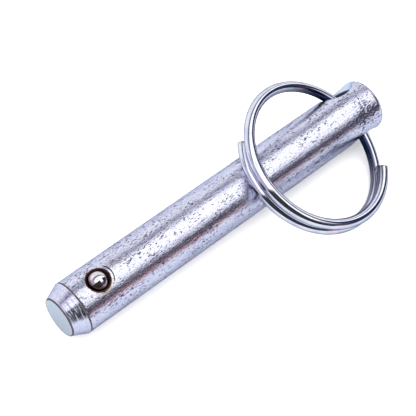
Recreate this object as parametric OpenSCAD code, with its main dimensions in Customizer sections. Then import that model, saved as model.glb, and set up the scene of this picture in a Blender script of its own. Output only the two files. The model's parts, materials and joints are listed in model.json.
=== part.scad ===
// Ball-detent hitch pin with a split pull ring, at rest on a bench.
// Millimetres. The shank lies along X with its nose towards -X, and +Z is up.
// The origin is on the shank's axis, midway between the ball and the place where the ring lies on it.

/* [Shank] */
// Diameter of the shank
pin_d = 12.7; // [12.5:0.1:13]
// Overall length from the nose face to the top of the domed head
pin_len = 93; // [90:1:120]
// Length of the lead-in taper at the nose
nose_len = 3.6; // [3:0.1:4]
// Angle of the lead-in taper from the axis
nose_angle = 24.5; // [15:0.5:30]
// Radius of the rounded edge at the head
head_edge_r = 1.4; // [0.8:0.1:1.6]
// Rise of the domed head above its rounded edge
head_dome = 0.95; // [0.4:0.05:1.2]

/* [Detent ball] */
// Diameter of the detent ball
ball_d = 4.76; // [4.6:0.02:4.8]
// Distance from the nose face to the ball's centre
ball_from_nose = 10; // [9:0.5:14]
// Direction the ball points in, turned from +Y towards +Z
ball_roll = 97; // [80:1:110]
// Height of the ball above the shank when it is out
ball_out = 1.05; // [0.9:0.05:1.1]
// Gap between the ball and its pocket
ball_gap = 0.05; // [0.03:0.01:0.08]

/* [Cross-hole] */
// Diameter of the hole that the ring passes through
hole_d = 5.6; // [5.6:0.1:6]
// Distance from the head's top to the hole's axis
hole_from_head = 7; // [7:0.5:9]
// Direction of the hole's upper mouth, turned from +Y towards +Z
hole_roll = 36; // [34:1:38]
// Depth of the 45 degree countersink at each mouth
sink_depth = 2; // [1.8:0.1:2.2]

/* [Split ring] */
// Diameter of the ring's wire
wire_d = 2.5; // [2.3:0.1:2.5]
// Inside diameter of the ring
ring_inner_d = 32.8; // [32:0.2:34]
// Rise of the ring's wire in one turn
ring_pitch = 2.8; // [2.7:0.1:3]

/* [Hidden] */
$fn = 96;

// Shank
pin_r = pin_d / 2;
nose_x = -32;
face_r = pin_r - nose_len * tan(nose_angle);
groove_count = 9;
groove_depth = 0.07;
shoulder_groove_depth = 0.16;
shoulder_groove_w = 0.5;

// Detent ball, its pocket, the staked lip that keeps it in and the spring behind it
ball_r = ball_d / 2;
ball_x = nose_x + ball_from_nose;
ball_h = pin_r + ball_out - ball_r;
pocket_r = ball_r + ball_gap;
pocket_floor = -2.95;
lip_overlap = 0.1;
lip_r = ball_r - lip_overlap;
lip_h = ball_h + sqrt(pow(pocket_r, 2) - pow(lip_r, 2));
stake_r = 3.5;
stake_w = 0.3;
stake_depth = 0.14;
spring_wire_r = 0.225;
spring_r = 1.875;
spring_turns = 7;
spring_sides = 8;
spring_steps = 16;
spring_end_gap = 0.02;
closed_gap = 0.02;
closed_pitch = 2 * spring_wire_r + closed_gap;
spring_low = pocket_floor + spring_wire_r + spring_end_gap;
spring_top = ball_h - sqrt(pow(ball_r + spring_wire_r + spring_end_gap, 2) - pow(spring_r, 2));
open_pitch = (spring_top - spring_low - 2 * closed_pitch) / (spring_turns - 2);

// Cross-hole
hole_x = nose_x + pin_len - hole_from_head;
past = 1;

// Split ring: three half turns of wire. Angles run round the ring from the hole.
wire_r = wire_d / 2;
ring_r = ring_inner_d / 2 + wire_r;
ring_start = -220;
ring_halves = 3;
// Every other half turn is this much thinner, so that the halves' ends never have the same edge
join_step = 0.004;
ring_play = 0.48;
ring_slip = 3.4;
rest_gap = 0.08;
ring_reach = ring_r - ring_play;

// The ring lies on the shank, where its lower turn crosses over.
far_reach = ring_reach + sqrt(pow(ring_r, 2) - pow(ring_slip, 2));
far_drop = -ring_height(-180 - asin(ring_slip / ring_r));
ring_lift = asin((pin_r + wire_r + rest_gap) / norm([far_reach, far_drop])) + atan(far_drop / far_reach);
// The pin rolls on the bench until the ring's rim comes down on it.
least_roll = 5;
most_roll = 50;
roll_steps = 20;
ring_roll = settled_roll(least_roll, most_roll, roll_steps);

// Height of the ring's wire above the ring's middle plane, at angle t round it
function ring_height(t) =
    let (k = floor((t - ring_start) / 180), a = t - ring_start - 180 * k)
    ring_pitch * (ring_start + 180 * k + 90) / 360 - ring_pitch / 4 * cos(a);

// Height of the ring's lowest point above the shank's axis for a given roll
function rim_low(roll) = min([for (t = [ring_start:1:ring_start + 180 * ring_halves - 1])
    let (across = ring_r * sin(t) - ring_slip, along = ring_reach - ring_r * cos(t))
    let (lift = along * sin(ring_lift) + ring_height(t) * cos(ring_lift))
    across * sin(roll) + lift * cos(roll)]) - wire_r;

// Roll between low and high at which the rim is level with the shank's underside
function settled_roll(low, high, steps) =
    let (middle = (low + high) / 2)
    steps == 0 ? middle :
    rim_low(middle) > -pin_r ? settled_roll(middle, high, steps - 1) : settled_roll(low, middle, steps - 1);

// Height of the spring's wire after some turns, closed up for one turn at each end
function spring_height(turn) = spring_low + closed_pitch * (min(turn, 1) + max(turn - spring_turns + 1, 0))
    + open_pitch * max(min(turn, spring_turns - 1) - 1, 0);

// Outline of the shank as [radius, distance from the nose face]
nose_outline = [for (i = [0:2 * groove_count])
    let (z = nose_len * i / (2 * groove_count))
    [face_r + z * tan(nose_angle) - (i % 2 == 1 ? groove_depth : 0), z]];
shoulder_outline = [
    [pin_r - shoulder_groove_depth, nose_len + shoulder_groove_w / 2],
    [pin_r, nose_len + shoulder_groove_w]
];
edge_z = pin_len - head_dome - head_edge_r;
edge_outline = [for (a = [0:10:90])
    [pin_r - head_edge_r + head_edge_r * cos(a), edge_z + head_edge_r * sin(a)]];
dome_steps = 8;
dome_w = pin_r - head_edge_r;
dome_r = (pow(dome_w, 2) + pow(head_dome, 2)) / (2 * head_dome);
dome_outline = [for (i = [dome_steps - 1:-1:0])
    let (r = dome_w * i / dome_steps)
    [r, pin_len - dome_r + sqrt(pow(dome_r, 2) - pow(r, 2))]];

// Moves its children to a point on the shank's axis, with Z out along a radius
module on_radius(x, roll) {
    translate([x, 0, 0]) rotate([roll - 90, 0, 0]) children();
}

// Half a turn of wire of radius r, tilted so that it rises by half a pitch and its ends meet the next half's
module half_turn(r) {
    tilt = atan(ring_pitch / 4 / ring_r);
    rotate([0, tilt, 0]) rotate_extrude(angle = 180)
        translate([ring_r / cos(tilt), 0]) circle(r, $fn = 32);
}

module pin_blank() {
    translate([nose_x, 0, 0]) rotate([0, 90, 0]) rotate_extrude()
        polygon(concat([[0, 0]], nose_outline, shoulder_outline, edge_outline, dome_outline));
}

module ball_pocket() {
    on_radius(ball_x, ball_roll) {
        translate([0, 0, pocket_floor]) cylinder(h = ball_h - pocket_floor, r = pocket_r);
        translate([0, 0, ball_h]) sphere(pocket_r);
        translate([0, 0, lip_h]) cylinder(h = past, r1 = lip_r, r2 = lip_r + past);
    }
}

// Ring left by the punch that closed the lip over the ball
module stake_mark() {
    on_radius(ball_x, ball_roll) translate([0, 0, pin_r - stake_depth]) difference() {
        cylinder(h = past, r = stake_r + stake_w / 2);
        translate([0, 0, -past]) cylinder(h = 3 * past, r = stake_r - stake_w / 2);
    }
}

module cross_hole() {
    on_radius(hole_x, hole_roll) {
        cylinder(h = pin_d + 2 * past, d = hole_d, center = true);
        for (side = [0, 180])
            rotate([side, 0, 0]) translate([0, 0, pin_r - sink_depth])
                cylinder(h = sink_depth + past, d1 = hole_d, d2 = hole_d + 2 * (sink_depth + past));
    }
}

module pin_body() {
    color("lightsteelblue") difference() {
        pin_blank();
        ball_pocket();
        stake_mark();
        cross_hole();
    }
}

module detent_ball() {
    color("silver") on_radius(ball_x, ball_roll) translate([0, 0, ball_h]) sphere(ball_r);
}

// Round wire swept along the spring's coil
module ball_spring() {
    last = spring_turns * spring_steps;
    points = [for (i = [0:last], j = [0:spring_sides - 1])
        let (turn = i / spring_steps, side = 360 * j / spring_sides)
        let (r = spring_r + spring_wire_r * cos(side))
        [r * cos(360 * turn), r * sin(360 * turn), spring_height(turn) + spring_wire_r * sin(side)]];
    skin = [for (i = [0:last - 1], j = [0:spring_sides - 1])
        let (a = i * spring_sides + j, b = i * spring_sides + (j + 1) % spring_sides)
        [a, a + spring_sides, b + spring_sides, b]];
    first_end = [for (j = [0:spring_sides - 1]) j];
    last_end = [for (j = [spring_sides - 1:-1:0]) last * spring_sides + j];
    color("slategray") on_radius(ball_x, ball_roll)
        polyhedron(points, concat(skin, [first_end, last_end]), convexity = 10);
}

module split_ring() {
    color("gainsboro") translate([hole_x, 0, 0]) rotate([ring_roll, 0, 0]) rotate([0, ring_lift, 0])
        translate([-ring_reach, -ring_slip, 0])
            for (k = [0:ring_halves - 1])
                rotate([0, 0, ring_start + 180 * k])
                    translate([0, 0, ring_pitch * (ring_start + 180 * k + 90) / 360])
                        half_turn(wire_r - (k % 2 == 0 ? join_step : 0));
}

pin_body();
detent_ball();
ball_spring();
split_ring();
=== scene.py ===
import json
import math
import random

import bmesh
import bpy
from mathutils import Matrix, Vector, noise


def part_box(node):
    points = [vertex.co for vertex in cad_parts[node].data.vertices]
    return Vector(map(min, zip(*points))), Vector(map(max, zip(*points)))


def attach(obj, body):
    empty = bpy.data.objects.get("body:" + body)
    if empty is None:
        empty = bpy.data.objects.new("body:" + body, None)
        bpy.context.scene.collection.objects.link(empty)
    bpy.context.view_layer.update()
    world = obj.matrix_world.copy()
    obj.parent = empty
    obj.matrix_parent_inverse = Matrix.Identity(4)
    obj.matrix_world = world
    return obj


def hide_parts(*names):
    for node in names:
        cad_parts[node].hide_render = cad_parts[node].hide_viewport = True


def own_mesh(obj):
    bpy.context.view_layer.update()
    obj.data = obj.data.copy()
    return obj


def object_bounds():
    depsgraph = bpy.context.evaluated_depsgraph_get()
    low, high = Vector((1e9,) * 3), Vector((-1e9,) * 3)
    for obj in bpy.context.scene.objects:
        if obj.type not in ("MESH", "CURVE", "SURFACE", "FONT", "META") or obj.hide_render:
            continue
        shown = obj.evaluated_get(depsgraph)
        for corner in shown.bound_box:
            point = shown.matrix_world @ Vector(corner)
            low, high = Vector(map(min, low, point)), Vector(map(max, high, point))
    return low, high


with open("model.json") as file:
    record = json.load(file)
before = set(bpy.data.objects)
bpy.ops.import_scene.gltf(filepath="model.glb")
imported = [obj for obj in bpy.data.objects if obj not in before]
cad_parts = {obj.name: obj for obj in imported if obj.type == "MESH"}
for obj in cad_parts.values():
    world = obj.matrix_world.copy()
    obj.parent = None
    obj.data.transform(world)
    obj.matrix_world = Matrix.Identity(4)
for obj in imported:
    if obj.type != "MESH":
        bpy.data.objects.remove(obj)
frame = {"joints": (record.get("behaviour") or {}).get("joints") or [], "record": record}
cad_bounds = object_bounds()

# The looks of a ball-detent hitch pin. Metres; the shank lies along X with its nose towards -X, on a bench.
MM = 0.001
X_AXIS = Vector((1, 0, 0))
Z_AXIS = Vector((0, 0, 1))

# Places that the frame gives
joints = {joint["name"]: joint for joint in frame["joints"]}
pin_low, pin_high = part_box("pin_body")
ball_low, ball_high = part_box("detent_ball")
PIN_R = frame["record"]["mounts"][0]["dims"]["r_mm"] * MM
NOSE_X = pin_low.x
HEAD_X = pin_high.x
PIN_LENGTH = HEAD_X - NOSE_X
BALL_AT = (ball_low + ball_high) / 2
BALL_R = (ball_high.x - ball_low.x) / 2
BALL_OUT = -Vector(joints["ball_press"]["axis"])
POCKET_AT = Vector((BALL_AT.x, 0, 0))
HOLE_AT = Vector(joints["ring_swing"]["pos_m"])
HOLE_AXIS = Vector(joints["ring_swing"]["axis"])

# Nose and head of the shank
TAPER_LENGTH = 3.6 * MM
TAPER_SLOPE = math.tan(math.radians(24.5))
FACE_R = PIN_R - TAPER_LENGTH * TAPER_SLOPE
RIM_CHAMFER = 0.12 * MM
SHOULDER_WIDTH = 0.5 * MM
SHOULDER_DEPTH = 0.16 * MM
SHOULDER_X = NOSE_X + TAPER_LENGTH
SKIN_X = SHOULDER_X + SHOULDER_WIDTH
HEAD_EDGE_R = 1.4 * MM
HEAD_DOME = 0.95 * MM

# Steps that the lathe left on the taper. Widths are relative, and shares are of one step's width.
TAPER_STEPS = 6
TAPER_SEED = 4
STEP_WIDTHS = 0.7, 1.3
TREAD_SHARES = 0.28, 0.48
TREAD_START = 0.06
TREAD_RISE = 0.02 * MM

# Ball pocket, stake mark and cross-hole
POCKET_R = BALL_R + 0.05 * MM
POCKET_FLOOR = -2.95 * MM
LIP_R = BALL_R - 0.03 * MM
LIP_FLARE = 0.65 * MM
STAKE_R = 3.5 * MM
STAKE_WIDTH = 0.3 * MM
STAKE_MEAN_DEPTH = 0.143 * MM
STAKE_LEAN = math.radians(2.4)
HOLE_R = 2.8 * MM
SINK_DEPTH = 2 * MM
CUTTER_PAST = 1 * MM

# Spring behind the ball
SPRING_WIRE_R = 0.225 * MM
SPRING_R = 1.875 * MM
SPRING_TURNS = 7
SPRING_FLOOR = POCKET_FLOOR + 0.245 * MM
SPRING_TOP = 3.183 * MM
SPRING_CLOSED_PITCH = 0.47 * MM

# Split ring, as it lies on the shank
WIRE_R = 1.25 * MM
WIRE_BEVEL = 0.08 * MM
RING_R = 17.65 * MM
RING_PITCH = 2.8 * MM
RING_START = math.radians(-220)
RING_HALVES = 3
RING_REACH = 17.17 * MM
RING_SLIP = 3.4 * MM
RING_ROLL = math.radians(21.523)
RING_LIFT = math.radians(15.548)

# Fineness of the meshes
SHANK_SIDES = 216
CUTTER_SIDES = 96
STAKE_SIDES = 120
SKIN_SPACING = 0.25 * MM
SHOULDER_RINGS = 8
HEAD_EDGE_RINGS = 12
DOME_RINGS = 14
LIP_RINGS = 6
BALL_SUBDIVISIONS = 5
SPRING_SIDES, SPRING_STEPS_PER_TURN = 16, 48
RING_SIDES, RING_STEPS = 40, 420
SHARP_ANGLE = math.radians(32)


def smoothstep(low, high, value):
    t = min(1, max(0, (value - low) / (high - low)))
    return t * t * (3 - 2 * t)


def on_shank(x, roll, radius=PIN_R):
    """The point at distance x along the shank, radius out, turned from +Y towards +Z."""
    return Vector((x, radius * math.cos(roll), radius * math.sin(roll)))


def along(direction, at):
    """Matrix that takes +Z to direction, a unit vector across the shank, and the origin to at."""
    turn = Matrix((X_AXIS, direction.cross(X_AXIS), direction)).transposed().to_4x4()
    return Matrix.Translation(at) @ turn


def circle(radius, height, sides):
    """Points round a circle about +Z."""
    turns = [2 * math.pi * i / sides for i in range(sides)]
    return [Vector((radius * math.cos(turn), radius * math.sin(turn), height)) for turn in turns]


def new_object(name, bm):
    mesh = bpy.data.meshes.new(name)
    bm.normal_update()
    bm.to_mesh(mesh)
    bm.free()
    thing = bpy.data.objects.new(name, mesh)
    bpy.context.scene.collection.objects.link(thing)
    return thing


def shade(thing):
    """Smooth shading, with the edges left sharp where the surface turns by more than SHARP_ANGLE."""
    bm = bmesh.new()
    bm.from_mesh(thing.data)
    for face in bm.faces:
        face.smooth = True
    for edge in bm.edges:
        edge.smooth = len(edge.link_faces) == 2 and edge.calc_face_angle() < SHARP_ANGLE
    bm.to_mesh(thing.data)
    bm.free()


def lathe(outline, sides):
    """A closed solid of revolution about +Z, from (radius, height) points that start and end on the axis."""
    bm = bmesh.new()
    rings = []
    for radius, height in outline:
        points = circle(radius, height, sides) if radius else [(0, 0, height)]
        rings.append([bm.verts.new(point) for point in points])
    for low, high in zip(rings, rings[1:]):
        for i in range(sides):
            j = (i + 1) % sides
            corners = [low[i % len(low)], low[j % len(low)], high[j % len(high)], high[i % len(high)]]
            bm.faces.new(list(dict.fromkeys(corners)))
    bmesh.ops.recalc_face_normals(bm, faces=bm.faces)
    return bm


def cut(body, cutter):
    """Takes the cutter's shape out of the body."""
    step = body.modifiers.new("cut", "BOOLEAN")
    step.operation = "DIFFERENCE"
    step.solver = "EXACT"
    step.object = cutter
    graph = bpy.context.evaluated_depsgraph_get()
    mesh = bpy.data.meshes.new_from_object(body.evaluated_get(graph))
    body.modifiers.remove(step)
    body.data = mesh
    bpy.data.objects.remove(cutter)


# ---------------------------------------------------------------- shank

def taper_outline():
    """The lead-in, turned by hand: steps of uneven width, each with a level tread and a steeper rise."""
    rng = random.Random(TAPER_SEED)
    weights = [rng.uniform(*STEP_WIDTHS) for _ in range(TAPER_STEPS)]
    height = RIM_CHAMFER
    points = []
    for weight in weights:
        width = (TAPER_LENGTH - RIM_CHAMFER) * weight / sum(weights)
        tread = rng.uniform(*TREAD_SHARES) * width
        low, high = FACE_R + height * TAPER_SLOPE, FACE_R + (height + width) * TAPER_SLOPE
        points.append((low, height + TREAD_START * width))
        points.append((low + TREAD_RISE, height + tread))
        points.append((high, height + width))
        height += width
    return points


def pin_outline():
    """Radius and distance from the nose face, from the middle of the nose to the top of the head."""
    face = [(FACE_R * share, 0) for share in (0, 0.25, 0.5, 0.75, 0.9)]
    rim = [(FACE_R - 0.6 * RIM_CHAMFER, 0), (FACE_R, RIM_CHAMFER)]
    shoulder = []
    for i in range(1, SHOULDER_RINGS + 1):
        share = i / SHOULDER_RINGS
        depth = SHOULDER_DEPTH * math.sin(math.pi * share) ** 2
        shoulder.append((PIN_R - depth, TAPER_LENGTH + SHOULDER_WIDTH * share))
    start = TAPER_LENGTH + SHOULDER_WIDTH
    stop = PIN_LENGTH - HEAD_DOME - HEAD_EDGE_R
    rings = round((stop - start) / SKIN_SPACING)
    shank = [(PIN_R, start + (stop - start) * i / rings) for i in range(1, rings + 1)]
    edge = []
    for i in range(1, HEAD_EDGE_RINGS + 1):
        turn = math.pi / 2 * i / HEAD_EDGE_RINGS
        edge.append((PIN_R - HEAD_EDGE_R * (1 - math.cos(turn)), stop + HEAD_EDGE_R * math.sin(turn)))
    dome_w = PIN_R - HEAD_EDGE_R
    dome_r = (dome_w ** 2 + HEAD_DOME ** 2) / (2 * HEAD_DOME)
    dome = []
    for i in reversed(range(DOME_RINGS)):
        radius = dome_w * i / DOME_RINGS
        dome.append((radius, PIN_LENGTH - dome_r + math.sqrt(dome_r ** 2 - radius ** 2)))
    return face + rim + taper_outline() + shoulder + shank + edge + dome


def pocket_cutter():
    """The ball's pocket, closed in a little over the ball's middle, and the flared lip above that."""
    height = BALL_AT.dot(BALL_OUT)
    lip_height = height + math.sqrt(POCKET_R ** 2 - LIP_R ** 2)
    outline = [(0, POCKET_FLOOR), (POCKET_R, POCKET_FLOOR), (POCKET_R, height)]
    for i in range(1, LIP_RINGS + 1):
        turn = math.acos(LIP_R / POCKET_R) * i / LIP_RINGS
        outline.append((POCKET_R * math.cos(turn), height + POCKET_R * math.sin(turn)))
    outline += [(LIP_R + LIP_FLARE, lip_height + CUTTER_PAST), (0, lip_height + CUTTER_PAST)]
    cutter = new_object("pocket_cutter", lathe(outline, CUTTER_SIDES))
    cutter.matrix_world = along(BALL_OUT, POCKET_AT)
    return cutter


def stake_cutter():
    """The ring punch bit deeper on the head side of the ball, so its cutter leans that way."""
    foot, top = 0.1 * STAKE_WIDTH, 0.5 * STAKE_WIDTH
    profile = [(STAKE_R - top, CUTTER_PAST), (STAKE_R - foot, 0)]
    profile += [(STAKE_R + foot, 0), (STAKE_R + top, CUTTER_PAST)]
    bm = bmesh.new()
    loops = [[bm.verts.new(point) for point in circle(*corner, STAKE_SIDES)] for corner in profile]
    for k, loop in enumerate(loops):
        after = loops[(k + 1) % len(loops)]
        for i in range(STAKE_SIDES):
            j = (i + 1) % STAKE_SIDES
            bm.faces.new((loop[i], loop[j], after[j], after[i]))
    bmesh.ops.recalc_face_normals(bm, faces=bm.faces)
    cutter = new_object("stake_cutter", bm)
    lean = Matrix.Translation((0, 0, PIN_R - STAKE_MEAN_DEPTH)) @ Matrix.Rotation(STAKE_LEAN, 4, "Y")
    cutter.matrix_world = along(BALL_OUT, POCKET_AT) @ lean
    return cutter


def hole_cutter():
    reach = PIN_R + CUTTER_PAST
    throat = PIN_R - SINK_DEPTH
    mouth_r = HOLE_R + reach - throat
    outline = [(0, -reach), (mouth_r, -reach), (HOLE_R, -throat)]
    outline += [(HOLE_R, throat), (mouth_r, reach), (0, reach)]
    cutter = new_object("hole_cutter", lathe(outline, CUTTER_SIDES))
    cutter.matrix_world = along(HOLE_AXIS, HOLE_AT)
    return cutter


# Places on the shank's surface that have a look of their own
PITTED_AT, PITTED_SIZE = on_shank(55 * MM, math.radians(137)), 4.6 * MM
RUSTY_AT, RUSTY_SIZE = on_shank(-16 * MM, math.radians(82)), 2.2 * MM
SLATE_AT = on_shank(44 * MM, math.radians(166))

# How far the skin's features lie below the true cylinder
SKIN_BELOW = 0.02 * MM
RIPPLE_DEPTH = 0.008 * MM
PEEL_DEPTH = 0.006 * MM
DENT_DEPTH = 0.02 * MM
PIT_DEPTH = 0.07 * MM
SKIN_FADE = 0.6 * MM
# A point belongs to the skin when it is this near the true cylinder, or on the head and clear of the axis
SKIN_TOLERANCE = 0.02 * MM
AXIS_CLEAR = 0.5 * MM


def lumps(place, per_mm_along, per_mm_across, shift):
    """Smooth noise from -1 to 1, with about so many lumps a millimetre along the shank and across it."""
    p = place / MM
    spot = p.x * per_mm_along, p.y * per_mm_across, p.z * per_mm_across
    return noise.noise(Vector((spot[0] + shift[0], spot[1] + shift[1], spot[2] + shift[2])))


def skin_depth(place):
    """How far the drawn skin lies below the true cylinder at a place, from its ripple, dents and pits."""
    ripple = lumps(place, 0.22, 0.55, (0, 0, 0))
    peel = lumps(place, 0.8, 1.25, (0, 0, 40))
    dent = smoothstep(0.28, 0.5, lumps(place, 0.7, 1.2, (90, 0, 0)))
    pits = smoothstep(0.02, 0.3, lumps(place, 1.5, 1.7, (0, 70, 0)))
    near = smoothstep(PITTED_SIZE, 0.4 * PITTED_SIZE, (place - PITTED_AT).length)
    smooth = SKIN_BELOW - RIPPLE_DEPTH * ripple - PEEL_DEPTH * peel
    return smooth + DENT_DEPTH * dent + PIT_DEPTH * near * pits


def make_pin():
    bm = lathe(pin_outline(), SHANK_SIDES)
    bm.transform(Matrix.Translation((NOSE_X, 0, 0)) @ Matrix.Rotation(math.pi / 2, 4, "Y"))
    pin = new_object("shank", bm)
    for cutter in (pocket_cutter(), stake_cutter(), hole_cutter()):
        cut(pin, cutter)
    for vertex in pin.data.vertices:
        radius = math.hypot(vertex.co.y, vertex.co.z)
        on_head = vertex.co.x > HEAD_X - HEAD_DOME - HEAD_EDGE_R and radius > AXIS_CLEAR
        on_skin = vertex.co.x > SKIN_X and abs(radius - PIN_R) < SKIN_TOLERANCE
        if on_skin or on_head:
            fade = smoothstep(SKIN_X, SKIN_X + SKIN_FADE, vertex.co.x)
            scale = 1 - fade * skin_depth(vertex.co) / radius
            vertex.co.y *= scale
            vertex.co.z *= scale
    shade(pin)
    return pin


# ---------------------------------------------------------------- ball, spring and ring

def make_ball():
    bm = bmesh.new()
    bmesh.ops.create_icosphere(bm, subdivisions=BALL_SUBDIVISIONS, radius=BALL_R)
    bm.transform(Matrix.Translation(BALL_AT))
    ball = new_object("ball", bm)
    shade(ball)
    return ball


def sweep(name, centres, radii, sides):
    """A round wire along the centres, with a radius at each, closed flat at both ends."""
    bm = bmesh.new()
    rings = []
    normal = None
    turns = [2 * math.pi * k / sides for k in range(sides)]
    for i, centre in enumerate(centres):
        before, after = centres[max(0, i - 1)], centres[min(len(centres) - 1, i + 1)]
        tangent = (after - before).normalized()
        if normal is None:
            normal = tangent.orthogonal()
        normal = (normal - tangent * normal.dot(tangent)).normalized()
        side = tangent.cross(normal)
        ring = [centre + radii[i] * (normal * math.cos(a) + side * math.sin(a)) for a in turns]
        rings.append([bm.verts.new(p) for p in ring])
    for now, after in zip(rings, rings[1:]):
        for k in range(sides):
            bm.faces.new((now[k], now[(k + 1) % sides], after[(k + 1) % sides], after[k]))
    bm.faces.new(list(reversed(rings[0])))
    bm.faces.new(rings[-1])
    bmesh.ops.recalc_face_normals(bm, faces=bm.faces)
    return new_object(name, bm)


def spring_height(turn):
    """Height of the spring's wire after some turns. Its first and last turns are closed up."""
    open_pitch = (SPRING_TOP - SPRING_FLOOR - 2 * SPRING_CLOSED_PITCH) / (SPRING_TURNS - 2)
    closed = min(turn, 1) + max(turn - SPRING_TURNS + 1, 0)
    return SPRING_FLOOR + SPRING_CLOSED_PITCH * closed + open_pitch * max(min(turn, SPRING_TURNS - 1) - 1, 0)


def make_spring():
    seat = along(BALL_OUT, POCKET_AT)
    centres = []
    for i in range(SPRING_TURNS * SPRING_STEPS_PER_TURN + 1):
        turns = i / SPRING_STEPS_PER_TURN
        a = 2 * math.pi * turns
        centres.append(seat @ Vector((SPRING_R * math.cos(a), SPRING_R * math.sin(a), spring_height(turns))))
    spring = sweep("spring", centres, [SPRING_WIRE_R] * len(centres), SPRING_SIDES)
    shade(spring)
    return spring


def ring_seat():
    """Matrix from the ring's own frame, with its axis along Z, to where it lies on the shank."""
    turn = Matrix.Rotation(RING_ROLL, 4, "X") @ Matrix.Rotation(RING_LIFT, 4, "Y")
    return Matrix.Translation(HOLE_AT) @ turn @ Matrix.Translation((-RING_REACH, -RING_SLIP, 0))


def ring_point(turn):
    """A point on the centreline of the ring's wire, turn round from the cross-hole."""
    half = min(RING_HALVES - 1, max(0, math.floor((turn - RING_START) / math.pi)))
    middle = RING_PITCH * (RING_START + math.pi * half + math.pi / 2) / (2 * math.pi)
    rise = -RING_PITCH / 4 * math.cos(turn - RING_START - math.pi * half)
    return ring_seat() @ Vector((RING_R * math.cos(turn), RING_R * math.sin(turn), middle + rise))


def make_ring():
    """The ring's wire, with its cut ends bevelled a little, the last one less."""
    arc = math.pi * RING_HALVES
    bevel_share = WIRE_BEVEL / (RING_R * arc)
    first = [0, 0.3 * bevel_share, bevel_share]
    last = [1 - share for share in reversed(first)]
    shares = first + [i / RING_STEPS for i in range(1, RING_STEPS)] + last
    centres = [ring_point(RING_START + arc * s) for s in shares]
    radii = [WIRE_R] * len(centres)
    for i, inset in ((0, WIRE_BEVEL), (1, 0.35 * WIRE_BEVEL)):
        radii[i] = WIRE_R - inset
        radii[-1 - i] = WIRE_R - inset * 0.6
    ring = sweep("pull_ring", centres, radii, RING_SIDES)
    shade(ring)
    return ring


# ---------------------------------------------------------------- node trees

class Nodes:
    """A node tree, built one node at a time. A value may be a number, a colour or another socket."""

    def __init__(self, tree):
        self.tree = tree
        self.tree.nodes.clear()

    def put(self, socket, value):
        if isinstance(value, bpy.types.NodeSocket):
            self.tree.links.new(value, socket)
        elif isinstance(value, (tuple, Vector)) and socket.type == "RGBA":
            socket.default_value = (*value, 1)
        else:
            socket.default_value = value

    def node(self, kind, values=(), **settings):
        made = self.tree.nodes.new(kind)
        for key, value in settings.items():
            setattr(made, key, value)
        for key, value in dict(values).items():
            self.put(made.inputs[key], value)
        return made

    def math(self, operation, a, b=0.0, clamp=False):
        made = self.node("ShaderNodeMath", {0: a, 1: b}, operation=operation, use_clamp=clamp)
        return made.outputs[0]

    def product(self, first, *others):
        for other in others:
            first = self.math("MULTIPLY", first, other)
        return first

    def vector(self, operation, a, b=(0, 0, 0)):
        made = self.node("ShaderNodeVectorMath", {0: a, 1: b}, operation=operation)
        return made.outputs["Value" if operation in ("LENGTH", "DOT_PRODUCT", "DISTANCE") else "Vector"]

    def between(self, value, low, high, out_low=0.0, out_high=1.0):
        """Smoothly from out_low to out_high as value goes from low to high."""
        values = {"Value": value, 1: low, 2: high, 3: out_low, 4: out_high}
        return self.node("ShaderNodeMapRange", values, interpolation_type="SMOOTHSTEP").outputs[0]

    def mix(self, share, a, b):
        return self.node("ShaderNodeMix", {0: share, 6: a, 7: b}, data_type="RGBA").outputs[2]


class Looks(Nodes):
    """A material. Places in its nodes are in millimetres, and only a bump's distance is in metres."""

    def __init__(self, name):
        self.material = bpy.data.materials.new(name)
        self.material.use_nodes = True
        super().__init__(self.material.node_tree)

    def place(self, stretch=(1, 1, 1)):
        """Place in the object, shrunk along each axis by stretch, so that a pattern is drawn out there."""
        coordinates = self.node("ShaderNodeTexCoord").outputs["Object"]
        return self.vector("MULTIPLY", coordinates, tuple(s / MM for s in stretch))

    def noise(self, place, scale, detail=2.0, roughness=0.5):
        values = {"Vector": place, "Scale": scale, "Detail": detail, "Roughness": roughness}
        return self.node("ShaderNodeTexNoise", values).outputs["Fac"]

    def offset(self, here, at):
        return self.vector("SUBTRACT", here, tuple(at / MM))

    def distance(self, here, at):
        return self.vector("DISTANCE", here, tuple(at / MM))

    def off_line(self, offset, direction):
        """Distance from the line through the offset's origin."""
        return self.vector("LENGTH", self.vector("CROSS_PRODUCT", offset, tuple(direction)))

    def off_value(self, value, target):
        return self.math("ABSOLUTE", self.math("SUBTRACT", value, target))

    def paint(self, base, colour, share, strength=1.0):
        """The base with a colour laid over it, as fully as share times strength says."""
        if strength < 1:
            share = self.math("MULTIPLY", share, strength)
        return self.mix(share, base, colour)

    def bump(self, height, distance, strength=1.0, normal=None):
        values = {"Height": height, "Distance": distance, "Strength": strength}
        if normal is not None:
            values["Normal"] = normal
        return self.node("ShaderNodeBump", values).outputs["Normal"]

    def finish(self, **inputs):
        shader = self.node("ShaderNodeBsdfPrincipled")
        for key, value in inputs.items():
            self.put(shader.inputs[key.replace("_", " ").title()], value)
        output = self.node("ShaderNodeOutputMaterial")
        self.tree.links.new(shader.outputs[0], output.inputs[0])
        return self.material


# ---------------------------------------------------------------- shank's material

# Colours of the zinc, of what lies on it, and of the shade and highlight painted on it
ZINC_BLUE, ZINC_PALE, ZINC_GRIT = (0.71, 0.72, 0.87), (0.84, 0.85, 0.95), (0.40, 0.40, 0.60)
OXIDE = (0.07, 0.06, 0.12)
SLATE = (0.28, 0.33, 0.48)
RUST_SPECK = (0.24, 0.08, 0.06)
RUST_DARK, RUST_BROWN, RUST_BLACK = (0.016, 0.006, 0.005), (0.08, 0.024, 0.014), (0.02, 0.008, 0.006)
STAIN = (0.70, 0.58, 0.30)
BARE_FACE = (0.90, 1.0, 1.0)
GRIME = (0.05, 0.03, 0.035)
STAKE_SHADE, STAKE_GLINT = (0.05, 0.04, 0.06), (0.95, 0.95, 0.99)
SINK_PALE = (0.66, 0.76, 0.93)
# Painted shade deep in the cross-hole
BORE_SHADE = (0.02, 0.022, 0.035)
HEAD_EDGE_DARK = (0.40, 0.38, 0.50)
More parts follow.
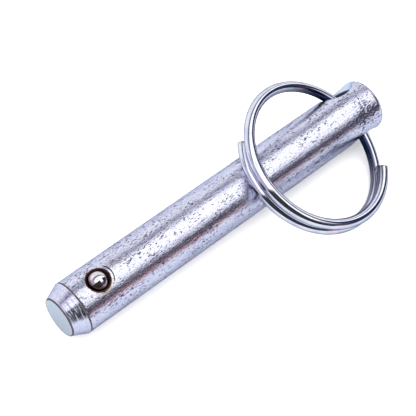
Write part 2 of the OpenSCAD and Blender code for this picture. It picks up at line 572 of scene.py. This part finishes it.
# Zinc's gloss dulls at grazing angles, which draws a thin darker line along every outline
ZINC_TINT = (0.62, 0.61, 0.70)

# Ways from the ball: towards the deep side of the stake mark, and towards the stained side
STAKE_SIDE = (0.91, -0.10, 0.40)
STAIN_SIDE = (0.15, -1, 0)

# Where marks come in, in millimetres: each is absent at its first value and whole at its second.
# Round the ball, off its axis or out along one of the ways above
STAIN_REACH, STAIN_WAY = (3.6, 2.8), (1.2, 2.4)
STAKE_LINE, STAKE_WAY = (0.2, 0.1), (2.75, 3.05)
GLINT_OFF, GLINT_LINE = 0.32, (0.16, 0.06)
LIP_REACH, LIP_BLACK_REACH = (2.96, 2.84), (2.7, 2.5)
# Off the countersink's cone, and along the cross-hole from its middle
SINK_OFF, BORE_REACH = (0.16, 0.06), (5.1, 4.8)
# Back from the nose face, and off the groove's middle
FACE_REACH, RIM_REACH, GROOVE_REACH = (0.05, 0.01), (0.42, 0.24), (0.28, 0.12)
# How far the grime runs in from the rim, where it is widest and where it is narrowest
RIM_WIDTHS = 0.32, 0.14
# Off the head's rounded edge, and off the middle of the slate patch
HEAD_EDGE_REACH, SLATE_REACH = (0.9, 0.2), (2.6, 0.8)


def drawn_zinc(look, here, grain, fine, on_skin):
    """Streaked zinc with dark pits, a slate patch and specks of rust. Gives the pits' mask too."""
    blotch = look.noise(look.place((0.3, 1, 1)), 0.5, 3, 0.6)
    streak = look.noise(look.place((0.08, 1, 1)), 1.4, 3, 0.6)
    pitted = look.between(look.distance(here, PITTED_AT), PITTED_SIZE / MM, 0.35 * PITTED_SIZE / MM)
    rusty = look.between(look.distance(here, RUSTY_AT), RUSTY_SIZE / MM, 0.4 * RUSTY_SIZE / MM)
    slate_off = look.vector("LENGTH", look.vector("MULTIPLY", look.offset(here, SLATE_AT), (0.3, 1, 1)))
    slate = look.product(look.between(slate_off, *SLATE_REACH), look.between(streak, 0.35, 0.6))

    # Pits: dark oxide where the grain is high, more of them in blotches and by the head
    threshold = look.between(blotch, 0.35, 0.68, 0.605, 0.52)
    threshold = look.math("SUBTRACT", threshold, look.math("MULTIPLY", pitted, 0.09))
    pit = look.product(look.between(look.math("SUBTRACT", grain, threshold), 0.0, 0.03), on_skin)

    base = look.mix(look.between(streak, 0.35, 0.65), ZINC_BLUE, ZINC_PALE)
    base = look.paint(base, ZINC_GRIT, look.between(fine, 0.48, 0.66, 0, 0.55))
    base = look.paint(base, OXIDE, pit, 0.92)
    base = look.paint(base, SLATE, slate, 0.5)
    base = look.paint(base, RUST_SPECK, look.product(rusty, look.between(grain, 0.52, 0.6)), 0.75)
    return base, pit


def nose_marks(look, here, x, wobble, base):
    """The bare turned face, and grime round its rim and in the shoulder's groove. Gives the two masks too."""
    from_face = look.math("SUBTRACT", x, NOSE_X / MM)
    face = look.between(from_face, *FACE_REACH)
    base = look.paint(base, BARE_FACE, face)
    from_axis = look.vector("LENGTH", look.vector("MULTIPLY", here, (0, 1, 1)))
    rim_from = look.between(wobble, 0.3, 0.7, *(FACE_R / MM - width for width in RIM_WIDTHS))
    rim = look.product(look.math("GREATER_THAN", from_axis, rim_from), look.between(from_face, *RIM_REACH))
    groove = look.between(look.off_value(x, (SHOULDER_X + SHOULDER_WIDTH / 2) / MM), *GROOVE_REACH)
    grimy = look.math("MAXIMUM", rim, groove)
    return look.paint(base, GRIME, grimy, 0.95), face, grimy


def ball_marks(look, here, grain, wobble, base):
    """The yellow stain, the stake mark with painted shade in its groove and a painted highlight just outside
    it, and the rusty lip round the ball. Gives the lip's mask too.
    """
    from_ball = look.offset(here, BALL_AT)
    outside = look.math("GREATER_THAN", look.vector("DOT_PRODUCT", from_ball, tuple(BALL_OUT)), 0.0)
    off_axis = look.off_line(from_ball, BALL_OUT)
    ragged = look.math("ADD", off_axis, look.math("MULTIPLY", look.math("SUBTRACT", wobble, 0.5), 0.35))

    stained = look.between(look.vector("DOT_PRODUCT", from_ball, STAIN_SIDE), *STAIN_WAY)
    base = look.paint(base, STAIN, look.product(look.between(ragged, *STAIN_REACH), stained, outside), 0.6)

    # Painted shade in the stake mark's groove and a painted highlight just outside its outer edge
    to_stake = look.vector("DOT_PRODUCT", from_ball, STAKE_SIDE)
    staked = look.product(look.between(to_stake, *STAKE_WAY), outside)
    stake_shade_line = look.between(look.off_value(off_axis, STAKE_R / MM), *STAKE_LINE)
    glint = look.between(look.off_value(off_axis, STAKE_R / MM + GLINT_OFF), *GLINT_LINE)
    base = look.paint(base, STAKE_SHADE, look.product(stake_shade_line, staked), 0.9)
    base = look.paint(base, STAKE_GLINT, look.product(glint, staked))

    lip = look.product(look.between(ragged, *LIP_REACH), outside)
    rust = look.mix(look.between(grain, 0.35, 0.65), RUST_DARK, RUST_BROWN)
    rust = look.paint(rust, RUST_BLACK, look.between(off_axis, *LIP_BLACK_REACH))
    return look.paint(base, rust, lip), lip


def hole_marks(look, here, base):
    """The pale countersink, and painted shade deep in the cross-hole, over the bore and the lower
    countersink. Gives the shade's mask too.
    """
    from_hole = look.offset(here, HOLE_AT)
    up_hole = look.math("ABSOLUTE", look.vector("DOT_PRODUCT", from_hole, tuple(HOLE_AXIS)))
    cone_off = look.math("SUBTRACT", look.off_line(from_hole, HOLE_AXIS), up_hole)
    throat = (HOLE_R - PIN_R + SINK_DEPTH) / MM
    sink = look.between(look.math("SUBTRACT", cone_off, throat), *SINK_OFF)
    # Painted shade over the bore and the lower part of the countersink
    bore_shade = look.product(look.between(up_hole, *BORE_REACH), sink)
    base = look.paint(base, SINK_PALE, sink, 0.9)
    return look.paint(base, BORE_SHADE, bore_shade), bore_shade


def zinc_look():
    """Blue-white zinc over a drawn, pitted bar, with rust at the ball's lip and grime at the nose's rim."""
    look = Looks("zinc")
    here = look.place()
    x = look.node("ShaderNodeSeparateXYZ", {0: here}).outputs["X"]
    drawn = look.place((0.45, 1, 1))
    grain = look.noise(drawn, 3.0, 4, 0.65)
    fine = look.noise(drawn, 7.0, 2, 0.6)
    wobble = look.noise(here, 2.0, 2, 0.5)
    on_skin = look.between(x, SHOULDER_X / MM, SKIN_X / MM)

    base, pit = drawn_zinc(look, here, grain, fine, on_skin)
    base, face, grimy = nose_marks(look, here, x, wobble, base)
    base, lip = ball_marks(look, here, grain, wobble, base)
    base, bore_shade = hole_marks(look, here, base)
    # Darker round the head's rounded edge
    head_edge = look.between(look.off_value(x, (HEAD_X - HEAD_EDGE_R) / MM), *HEAD_EDGE_REACH)
    base = look.paint(base, HEAD_EDGE_DARK, head_edge, 0.45)

    dull = look.math("MAXIMUM", look.math("MAXIMUM", lip, bore_shade), grimy)
    rough = look.math("ADD", look.between(fine, 0.3, 0.7, 0.10, 0.20), look.math("MULTIPLY", pit, 0.3))
    rough = look.math("ADD", rough, look.math("MULTIPLY", dull, 0.4), clamp=True)
    metal = look.math("SUBTRACT", 1.0, look.math("MULTIPLY", dull, 0.6))

    height = look.math("ADD", look.math("MULTIPLY", grain, -1.0), look.math("MULTIPLY", fine, 0.25))
    normal = look.bump(height, 0.05 * MM, on_skin)
    # Tool lines round the turned lead-in
    turned = look.noise(look.place((1, 0.03, 0.03)), 2.4, 3, 0.7)
    on_taper = look.product(look.math("SUBTRACT", 1.0, on_skin), look.math("SUBTRACT", 1.0, face))
    normal = look.bump(turned, 0.25 * MM, on_taper, normal)
    normal = look.bump(look.noise(drawn, 20, 2, 0.6), 0.008 * MM, 0.6, normal)
    gloss = {"metallic": metal, "roughness": rough, "specular_tint": ZINC_TINT}
    return look.finish(base_color=base, normal=normal, **gloss)


# ---------------------------------------------------------------- the other materials

BALL_BRIGHT, BALL_SMUDGED, BALL_TINT = (0.86, 0.84, 0.88), (0.74, 0.69, 0.72), (0.4, 0.2, 0.16)
# The last of these is a painted dark reflection, near black, for the ball's lower side
FILM, FILM_EDGE, BALL_DARK_REFLECTION = (0.33, 0.21, 0.20), (0.10, 0.035, 0.028), (0.035, 0.022, 0.022)
DARK_REFLECTION_SIDE = (-0.52, -0.65, -0.55)
# Where the film and the painted dark reflection come in, in millimetres off the ball's axis or out along the
# side that it darkens
FILM_REACH, FILM_EDGE_REACH, DARK_REFLECTION_REACH = (1.5, 1.85), (2.0, 2.25), (0.55, 1.1)
SPRING_BRIGHT, SPRING_OILY = (0.52, 0.52, 0.56), (0.30, 0.27, 0.27)
RING_BRIGHT, RING_DULL, RING_TINT = (0.86, 0.87, 0.94), (0.70, 0.72, 0.86), (0.03, 0.03, 0.06)
# Colours of a painted dark reflection, of painted shade at the cut ends, and of rust spots
RING_DARK_REFLECTION, CUT_END_SHADE, RING_RUST = (0.03, 0.045, 0.10), (0.07, 0.06, 0.09), (0.25, 0.14, 0.10)
# In millimetres: the painted dark reflection inside the wire's centreline and about the hole, the painted
# shade back from each cut and near its edge
DARK_BAND_INSIDE, DARK_BAND_FROM_HOLE = (0.35, 0.75), (24, 9)
END_SHADE_DEPTH, END_SHADE_EDGE, END_SHADE_WITHIN = (0.34, 0.14), (0.95, 1.1), 2.0
PAPER_GREY, PAPER_WHITE, PAPER_IN_GLOSS = (0.90, 0.90, 0.90), (0.92, 0.92, 0.92), (0.415, 0.44, 0.49)


def ball_look():
    """Polished steel, with a film of rust where the ball rubs in its lip and a painted dark reflection over
    its lower side.
    """
    look = Looks("ball_steel")
    here = look.place()
    smudge = look.noise(here, 0.9, 3, 0.6)
    base = look.mix(look.between(smudge, 0.4, 0.7), BALL_BRIGHT, BALL_SMUDGED)
    from_middle = look.offset(here, BALL_AT)
    off_axis = look.off_line(from_middle, BALL_OUT)
    film = look.between(off_axis, *FILM_REACH)
    base = look.paint(base, FILM, film, 0.9)
    base = look.paint(base, FILM_EDGE, look.between(off_axis, *FILM_EDGE_REACH))
    # A painted dark reflection over the ball's lower side
    dark_reflection = look.between(look.vector("DOT_PRODUCT", from_middle, DARK_REFLECTION_SIDE), *DARK_REFLECTION_REACH)
    base = look.paint(base, BALL_DARK_REFLECTION, dark_reflection, 0.88)
    rough = look.math("ADD", look.between(smudge, 0.3, 0.8, 0.03, 0.09), look.math("MULTIPLY", film, 0.12))
    normal = look.bump(look.noise(here, 14, 2, 0.5), 0.002 * MM, 0.5)
    return look.finish(base_color=base, metallic=1.0, roughness=rough, normal=normal, specular_tint=BALL_TINT)


def spring_look():
    """Drawn steel with oil on it."""
    look = Looks("spring_steel")
    here = look.place()
    oil = look.noise(here, 1.5, 3, 0.6)
    base = look.mix(look.between(oil, 0.35, 0.7), SPRING_BRIGHT, SPRING_OILY)
    rough = look.between(oil, 0.3, 0.7, 0.25, 0.42)
    normal = look.bump(look.noise(here, 12, 2, 0.5), 0.004 * MM, 0.6)
    return look.finish(base_color=base, metallic=1.0, roughness=rough, normal=normal)


def ring_look():
    """Smooth bright zinc, duller in patches, with a few spots of rust."""
    look = Looks("ring_zinc")
    here = look.place()
    patch = look.noise(here, 0.35, 3, 0.55)
    base = look.mix(look.between(patch, 0.35, 0.7), RING_BRIGHT, RING_DULL)

    # A painted dark reflection on the inner side of the wire, near the cross-hole
    seat = ring_seat()
    off_axis = look.off_line(look.offset(here, seat.translation), seat.to_3x3() @ Z_AXIS)
    inner = look.between(look.math("SUBTRACT", RING_R / MM, off_axis), *DARK_BAND_INSIDE)
    near_hole = look.between(look.distance(here, HOLE_AT), *DARK_BAND_FROM_HOLE)
    base = look.paint(base, RING_DARK_REFLECTION, look.product(inner, near_hole))

    # Painted shade round the edges of the wire's cut ends
    for turn, step in ((RING_START, 0.01), (RING_START + math.pi * RING_HALVES, -0.01)):
        end = ring_point(turn)
        inward = (ring_point(turn + step) - end).normalized()
        from_end = look.offset(here, end)
        at_end = look.math("LESS_THAN", look.vector("LENGTH", from_end), END_SHADE_WITHIN)
        shallow = look.between(look.vector("DOT_PRODUCT", from_end, tuple(inward)), *END_SHADE_DEPTH)
        at_edge = look.between(look.off_line(from_end, inward), *END_SHADE_EDGE)
        base = look.paint(base, CUT_END_SHADE, look.product(shallow, at_edge, at_end), 0.85)

    spot = look.between(look.noise(here, 1.7, 3, 0.6), 0.70, 0.74)
    base = look.paint(base, RING_RUST, spot, 0.7)
    rough = look.math("ADD", look.between(patch, 0.3, 0.8, 0.06, 0.15), look.math("MULTIPLY", spot, 0.25))
    normal = look.bump(look.noise(here, 1.6, 2, 0.5), 0.012 * MM, 0.5)
    normal = look.bump(look.noise(here, 7, 2, 0.6), 0.004 * MM, 0.5, normal)
    return look.finish(base_color=base, metallic=1.0, roughness=rough, normal=normal, specular_tint=RING_TINT)


def floor_look():
    """Pale paper, greyer in what is glossy than to the eye."""
    look = Looks("floor_paper")
    base = look.mix(look.noise(look.place(), 0.05, 2, 0.5), PAPER_GREY, PAPER_WHITE)
    in_gloss = look.node("ShaderNodeLightPath").outputs["Is Glossy Ray"]
    return look.finish(base_color=look.paint(base, PAPER_IN_GLOSS, in_gloss), roughness=0.9)


# ---------------------------------------------------------------- stage

# The studio as gloss sees it: brightness by the turn in degrees from the horizon beyond the pin, over the
# top, to the horizon on the near side. A softbox hangs overhead, with a narrow dark gap beyond it and a wide
# one on the near side.
STUDIO = [
    (0, (0.95, 0.97, 1.02)),
    (40, (0.95, 0.95, 1.00)),
    (51, (0.60, 0.60, 0.70)),
    (57, (0.06, 0.06, 0.10)),
    (64, (0.10, 0.10, 0.16)),
    (68, (0.85, 0.85, 0.92)),
    (76, (1.25, 1.25, 1.27)),
    (98, (1.55, 1.55, 1.55)),
    (124, (1.45, 1.45, 1.48)),
    (138, (0.95, 0.95, 1.02)),
    (144, (0.10, 0.10, 0.14)),
    (164, (0.05, 0.05, 0.08)),
    (170, (0.06, 0.05, 0.07)),
    (177, (0.10, 0.09, 0.12)),
    (180, (0.40, 0.42, 0.52)),
]
# What else hangs in the studio. A turn is as above, and an edge is a pair of X components of the direction,
# between which a thing comes in.
# A warm strip of wood, low on the near side and a little towards the head
WARM = (0.95, 0.34, 0.31)
WARM_TURNS = math.radians(168), math.radians(172)
WARM_EDGES = (0.22, 0.27), (0.46, 0.38)
# The unlit room on the near side, but for its part towards the head
ROOM = (0.03, 0.03, 0.03)
ROOM_TURNS = math.radians(109), math.radians(113)
ROOM_EDGE = (0.24, 0.14)
# A lavender wall beyond the nose
WALL = (0.52, 0.48, 0.62)
WALL_EDGE = (-0.62, -0.70)
# A navy curtain beyond the head, on the near side
CURTAIN = (0.02, 0.03, 0.07)
CURTAIN_TURNS = math.radians(94), math.radians(104)
CURTAIN_EDGE = (0.60, 0.66)
# A dark bracket that holds the softbox, by the cosine of the angle off its direction
BRACKET = (0.01, 0.01, 0.02)
BRACKET_AT = Vector((-0.10, 0.02, 0.995))
BRACKET_EDGE = (0.9965, 0.998)

WHITE = (1, 1, 1)
ROOM_LIGHT = 2.1
BACKDROP = 1.05
SOFTBOX_SIZE = 1.2, 0.5
SOFTBOX_AT = (0, -0.1, 0.75)
SOFTBOX_POWER = 1.0
FLOOR_HALF = 2.5
FLOOR_GAP = 0.02 * MM

CAMERA_AT = Vector((-115.68, -116.76, 261.05)) * MM
CAMERA_FORWARD = Vector((0.4043, 0.3762, -0.8337))
CAMERA_RIGHT = Vector((0.7491, -0.6592, 0.0658))
CAMERA_LENS, CAMERA_SENSOR = 121.15, 36
CAMERA_CLIP = 0.01, 20


def make_world():
    """Plain white to the camera, even light on the floor, and the studio in what is glossy."""
    world = bpy.data.worlds.new("studio")
    bpy.context.scene.world = world
    world.use_nodes = True
    sky = Nodes(world.node_tree)
    direction = sky.node("ShaderNodeTexCoord").outputs["Generated"]
    headward, beyond, up = sky.node("ShaderNodeSeparateXYZ", {0: direction}).outputs
    turn = sky.math("ARCTAN2", up, beyond)
    ramp = sky.node("ShaderNodeValToRGB", {0: sky.math("DIVIDE", turn, math.pi)})
    stops = ramp.color_ramp.elements
    while len(stops) > 1:
        stops.remove(stops[-1])
    for i, (degrees, colour) in enumerate(STUDIO):
        stop = stops[0] if i == 0 else stops.new(degrees / 180)
        stop.position = degrees / 180
        stop.color = (*colour, 1)

    warm_span = sky.product(sky.between(headward, *WARM_EDGES[0]), sky.between(headward, *WARM_EDGES[1]))
    warm = sky.product(warm_span, sky.between(turn, *WARM_TURNS))
    hung = sky.product(sky.between(headward, *CURTAIN_EDGE), sky.between(turn, *CURTAIN_TURNS))
    unlit = sky.product(sky.between(turn, *ROOM_TURNS), sky.between(headward, *ROOM_EDGE))
    to_bracket = sky.vector("DOT_PRODUCT", direction, tuple(BRACKET_AT.normalized()))
    seen = sky.mix(warm, ramp.outputs[0], WARM)
    seen = sky.mix(sky.between(headward, *WALL_EDGE), seen, WALL)
    seen = sky.mix(hung, seen, CURTAIN)
    seen = sky.mix(unlit, seen, ROOM)
    seen = sky.mix(sky.between(to_bracket, *BRACKET_EDGE), seen, BRACKET)

    path = sky.node("ShaderNodeLightPath").outputs
    gloss = sky.node("ShaderNodeBackground", {0: seen}).outputs[0]
    even = sky.node("ShaderNodeBackground", {0: WHITE, 1: ROOM_LIGHT}).outputs[0]
    plain = sky.node("ShaderNodeBackground", {0: WHITE, 1: BACKDROP}).outputs[0]
    by_gloss = sky.node("ShaderNodeMixShader", {0: path["Is Glossy Ray"], 1: even, 2: gloss}).outputs[0]
    by_camera = sky.node("ShaderNodeMixShader", {0: path["Is Camera Ray"], 1: by_gloss, 2: plain}).outputs[0]
    sky.node("ShaderNodeOutputWorld", {0: by_camera})


def make_floor():
    bm = bmesh.new()
    bmesh.ops.create_grid(bm, x_segments=8, y_segments=8, size=FLOOR_HALF)
    bm.transform(Matrix.Translation((0, 0, cad_bounds[0].z - FLOOR_GAP)))
    floor = new_object("floor", bm)
    floor.data.materials.append(floor_look())


def make_softbox():
    """A large soft light overhead, which gloss doesn't see: the world has its own there."""
    light = bpy.data.lights.new("softbox", "AREA")
    light.shape = "RECTANGLE"
    light.size, light.size_y = SOFTBOX_SIZE
    light.energy = SOFTBOX_POWER
    lamp = bpy.data.objects.new("softbox", light)
    lamp.location = SOFTBOX_AT
    lamp.visible_camera = False
    lamp.visible_glossy = False
    bpy.context.scene.collection.objects.link(lamp)


def make_camera():
    """A long lens from above the nose's near side."""
    data = bpy.data.cameras.new("camera")
    data.sensor_width = CAMERA_SENSOR
    data.lens = CAMERA_LENS
    data.clip_start, data.clip_end = CAMERA_CLIP
    camera = bpy.data.objects.new("camera", data)
    right = (CAMERA_RIGHT - CAMERA_FORWARD * CAMERA_RIGHT.dot(CAMERA_FORWARD)).normalized()
    turn = Matrix((right, right.cross(CAMERA_FORWARD), -CAMERA_FORWARD)).transposed().to_4x4()
    camera.matrix_world = Matrix.Translation(CAMERA_AT) @ turn
    bpy.context.scene.collection.objects.link(camera)
    bpy.context.scene.camera = camera


def dress(piece, look, body, node):
    """Gives a piece its material and body, and hides the CAD node that it stands for."""
    piece.data.materials.clear()
    piece.data.materials.append(look)
    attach(piece, body)
    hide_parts(node)


make_camera()
make_world()
make_softbox()
make_floor()
bpy.context.scene.view_settings.view_transform = "Standard"

dress(make_pin(), zinc_look(), "pin", "pin_body")
dress(make_ball(), ball_look(), "ball", "detent_ball")
dress(make_ring(), ring_look(), "ring", "split_ring")
spring = make_spring()
dress(spring, spring_look(), "pin", "ball_spring")
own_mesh(spring)

bpy.context.view_layer.update()
